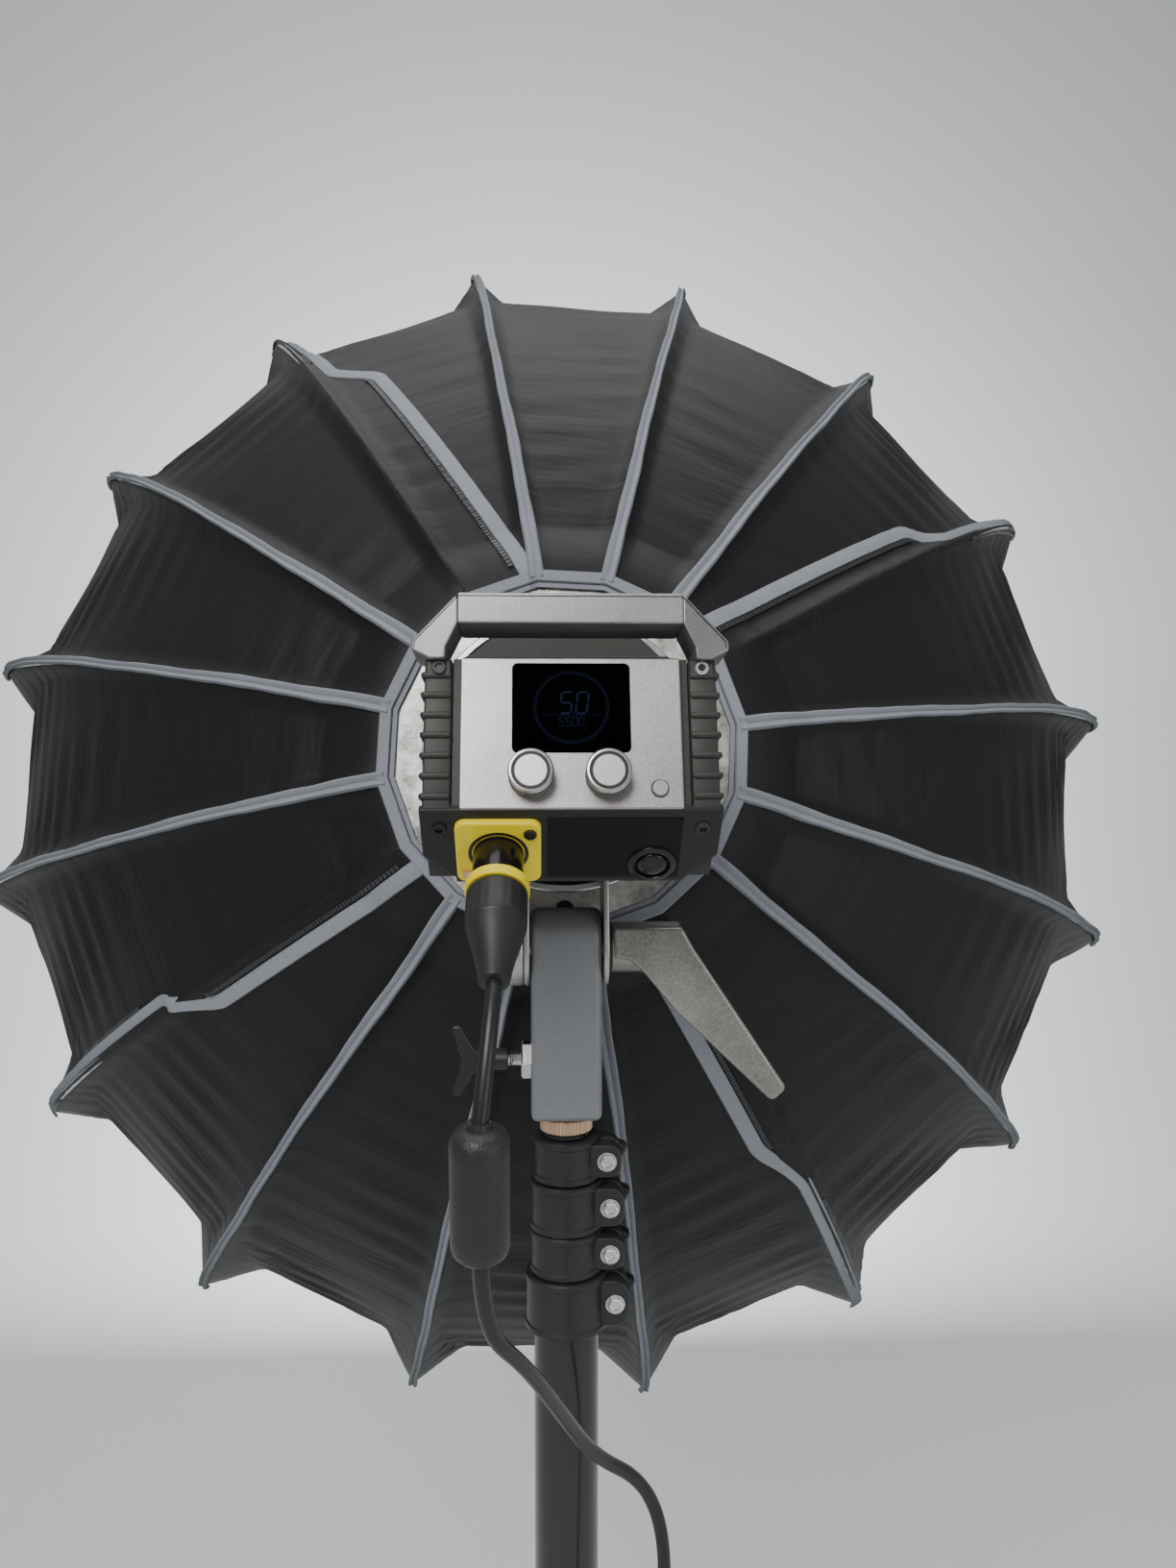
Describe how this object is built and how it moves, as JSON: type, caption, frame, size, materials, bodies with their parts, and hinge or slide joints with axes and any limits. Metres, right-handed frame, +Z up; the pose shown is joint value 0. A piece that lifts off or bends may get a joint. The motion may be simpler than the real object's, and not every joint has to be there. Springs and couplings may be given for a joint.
{
  "type": "studio softbox",
  "caption": "Deep round softbox with spring rods on a lamp head, held by a tilting bracket on a collapsible tripod stand, with its supply lead coiled at the foot.",
  "frame": {"origin": "on the floor, under the middle of the object's box", "axes": "+Z up, +Y the way the light leaves, +X to the right seen from behind the lamp"},
  "size_m": [0.8976, 0.727, 1.5832],
  "materials": {
    "softbox_fabric": "woven",
    "rod_steel": "satin",
    "ring_metal": "cast",
    "white_cloth": "translucent weave",
    "black_metal": "satin",
    "panel_metal": "bead blasted",
    "dark_metal": "fine texture",
    "glass_black": "gloss",
    "board": "matte",
    "bare_metal": "machined",
    "black_plastic": "moulded",
    "gloss_black": "gloss",
    "yellow_plastic": "moulded",
    "block_grey": "satin",
    "lever_metal": "satin texture",
    "brass": "knurled",
    "stand_metal": "gloss",
    "cord_rubber": "satin"
  },
  "bodies": {
    "stand_base": {"base_section": "stand_metal", "cord_lower": "cord_rubber", "cord_coil": "cord_rubber", "end_connector": "black_plastic"},
    "mast_4": {"mast_section_4": "black_plastic"},
    "mast_3": {"mast_section_3": "black_plastic"},
    "mast_2": {"mast_section_2": "black_plastic"},
    "mast_top": {"top_tube": "stand_metal", "spigot": "brass", "cord_side": "cord_rubber"},
    "receiver": {"receiver_block": "block_grey", "pivot_bolt": "bare_metal", "cord_mid": "cord_rubber"},
    "tilt_lever": {"tilt_lever": "lever_metal"},
    "lock_screw": {"lock_screw": "black_plastic"},
    "head": {"dome_shell": "softbox_fabric", "ribs": "rod_steel", "speed_ring": "ring_metal", "front_diffuser": "white_cloth", "inner_baffle": "white_cloth", "mount_flange": "black_metal", "lamp_barrel": "black_metal", "lamp_reflector": "bare_metal", "led_module": "bare_metal", "heat_sink": "bare_metal", "fan_frame": "black_plastic", "rear_casing": "dark_metal", "control_panel": "panel_metal", "display_window": "glass_black", "driver_board": "board", "connector_panel": "dark_metal", "rocker_bezel": "gloss_black", "dc_inlet": "yellow_plastic", "side_fins": "dark_metal", "carry_handle": "panel_metal", "case_screws": "black_metal", "yoke_bracket": "panel_metal", "dc_plug": "black_plastic", "plug_ring": "yellow_plastic", "cord_upper": "cord_rubber", "ferrite_barrel": "black_plastic"},
    "ring_lock_pin": {"ring_lock_pin": "black_plastic"},
    "fan_rotor": {"fan_rotor": "black_plastic"},
    "dial_left": {"dial_left": "panel_metal"},
    "dial_right": {"dial_right": "panel_metal"},
    "push_button": {"push_button": "panel_metal"},
    "power_rocker": {"power_rocker": "gloss_black"},
    "inlet_latch": {"inlet_latch": "brass"},
    "clamp_knob_1": {"clamp_knob_1": "black_plastic"},
    "clamp_knob_2": {"clamp_knob_2": "black_plastic"},
    "clamp_knob_3": {"clamp_knob_3": "black_plastic"},
    "clamp_knob_4": {"clamp_knob_4": "black_plastic"},
    "leg_runner": {"leg_runner": "black_plastic"},
    "runner_knob": {"runner_knob": "black_plastic"},
    "leg_1": {"leg_1": "stand_metal"},
    "brace_1": {"brace_1": "stand_metal"},
    "leg_2": {"leg_2": "stand_metal"},
    "brace_2": {"brace_2": "stand_metal"},
    "leg_3": {"leg_3": "stand_metal"},
    "brace_3": {"brace_3": "stand_metal"}
  },
  "joints": [
    {"name": "mast_extend", "type": "slide", "parent": "stand_base", "child": "mast_top", "axis": [0, 0, 1], "range_m": [0, 2], "deforming": ["cord_side", "cord_lower"]},
    {"name": "mast_4_extend", "type": "slide", "parent": "stand_base", "child": "mast_4", "axis": [0, 0, 1], "range_m": [0, 0.5]},
    {"name": "mast_3_extend", "type": "slide", "parent": "stand_base", "child": "mast_3", "axis": [0, 0, 1], "range_m": [0, 1]},
    {"name": "mast_2_extend", "type": "slide", "parent": "stand_base", "child": "mast_2", "axis": [0, 0, 1], "range_m": [0, 1.5]},
    {"name": "pan", "type": "hinge", "parent": "mast_top", "child": "receiver", "pos_m": [0, -0.1175, 1.02], "axis": [0, 0, 1], "range_deg": [-90, 90], "deforming": ["cord_mid", "cord_side"]},
    {"name": "tilt", "type": "hinge", "parent": "receiver", "child": "head", "pos_m": [0, -0.1175, 1.1], "axis": [1, 0, 0], "range_deg": [-8, 60], "deforming": ["cord_mid"]},
    {"name": "tilt_lever_turn", "type": "hinge", "parent": "receiver", "child": "tilt_lever", "pos_m": [0, -0.1175, 1.1], "axis": [1, 0, 0], "range_deg": [-90, 20]},
    {"name": "lock_screw_turn", "type": "hinge", "parent": "receiver", "child": "lock_screw", "pos_m": [0, -0.1175, 1.046], "axis": [1, 0, 0], "range_deg": [0, 360]},
    {"name": "ring_pin_pull", "type": "slide", "parent": "head", "child": "ring_lock_pin", "axis": [0, -0.9877, 0.1564], "range_m": [0, 0.004], "stiffness_N_per_m": 400},
    {"name": "fan_spin", "type": "hinge", "parent": "head", "child": "fan_rotor", "pos_m": [0, -0.12177, 1.20091], "axis": [0, 0.9877, -0.1564], "continuous": true},
    {"name": "dial_left_turn", "type": "hinge", "parent": "head", "child": "dial_left", "pos_m": [-0.016, -0.21559, 1.18569], "axis": [0, -0.9595, 0.2815], "continuous": true},
    {"name": "dial_right_turn", "type": "hinge", "parent": "head", "child": "dial_right", "pos_m": [0.014, -0.21559, 1.18569], "axis": [0, -0.9595, 0.2815], "continuous": true},
    {"name": "button_press", "type": "slide", "parent": "head", "child": "push_button", "axis": [0, 0.9595, -0.2815], "range_m": [0, 0.001], "stiffness_N_per_m": 400},
    {"name": "rocker_tip", "type": "hinge", "parent": "head", "child": "power_rocker", "pos_m": [0.033, -0.19829, 1.1509], "axis": [1, 0, 0], "range_deg": [-7, 7]},
    {"name": "latch_press", "type": "slide", "parent": "head", "child": "inlet_latch", "axis": [0, -0.654, 0.7565], "range_m": [0, 0.0015], "stiffness_N_per_m": 300},
    {"name": "clamp_knob_4_turn", "type": "hinge", "parent": "stand_base", "child": "clamp_knob_4", "pos_m": [0.0232, -0.1175, 0.9295], "axis": [0, 1, 0], "range_deg": [0, 55]},
    {"name": "clamp_knob_3_turn", "type": "hinge", "parent": "mast_4", "child": "clamp_knob_3", "pos_m": [0.0207, -0.1175, 0.9537], "axis": [0, 1, 0], "range_deg": [0, 55]},
    {"name": "clamp_knob_2_turn", "type": "hinge", "parent": "mast_3", "child": "clamp_knob_2", "pos_m": [0.0207, -0.1175, 0.9762], "axis": [0, 1, 0], "range_deg": [0, 55]},
    {"name": "clamp_knob_1_turn", "type": "hinge", "parent": "mast_2", "child": "clamp_knob_1", "pos_m": [0.0192, -0.1175, 0.9987], "axis": [0, 1, 0], "range_deg": [0, 55]},
    {"name": "leg_runner_slide", "type": "slide", "parent": "stand_base", "child": "leg_runner", "axis": [0, 0, 1], "range_m": [0, 0.2745]},
    {"name": "runner_knob_turn", "type": "hinge", "parent": "leg_runner", "child": "runner_knob", "pos_m": [0.02598, -0.1025, 0.343], "axis": [0.866, 0.5, 0], "range_deg": [0, 60]},
    {"name": "leg_1_fold", "type": "hinge", "parent": "leg_runner", "child": "leg_1", "pos_m": [0, -0.0895, 0.33], "axis": [-1, 0, 0], "range_deg": [0, 46]},
    {"name": "brace_1_fold", "type": "hinge", "parent": "stand_base", "child": "brace_1", "pos_m": [-0.0099, -0.0895, 0.115], "axis": [1, 0, 0], "range_deg": [0, 66.1]},
    {"name": "leg_2_fold", "type": "hinge", "parent": "leg_runner", "child": "leg_2", "pos_m": [-0.02425, -0.1315, 0.33], "axis": [0.5, -0.866, 0], "range_deg": [0, 46]},
    {"name": "brace_2_fold", "type": "hinge", "parent": "stand_base", "child": "brace_2", "pos_m": [-0.0193, -0.14007, 0.115], "axis": [-0.5, 0.866, 0], "range_deg": [0, 66.1]},
    {"name": "leg_3_fold", "type": "hinge", "parent": "leg_runner", "child": "leg_3", "pos_m": [0.02425, -0.1315, 0.33], "axis": [0.5, 0.866, 0], "range_deg": [0, 46]},
    {"name": "brace_3_fold", "type": "hinge", "parent": "stand_base", "child": "brace_3", "pos_m": [0.0292, -0.12293, 0.115], "axis": [-0.5, -0.866, 0], "range_deg": [0, 66.1]}
  ],
  "couplings": [
    {"joint": "mast_4_extend", "follows": "mast_extend", "ratio": 0.25},
    {"joint": "mast_3_extend", "follows": "mast_extend", "ratio": 0.5},
    {"joint": "mast_2_extend", "follows": "mast_extend", "ratio": 0.75},
    {"joint": "leg_1_fold", "follows": "leg_runner_slide", "rad_per_m": 2.9184},
    {"joint": "brace_1_fold", "follows": "leg_runner_slide", "rad_per_m": 4.1964},
    {"joint": "leg_2_fold", "follows": "leg_runner_slide", "rad_per_m": 2.9184},
    {"joint": "brace_2_fold", "follows": "leg_runner_slide", "rad_per_m": 4.1964},
    {"joint": "leg_3_fold", "follows": "leg_runner_slide", "rad_per_m": 2.9184},
    {"joint": "brace_3_fold", "follows": "leg_runner_slide", "rad_per_m": 4.1964}
  ]
}
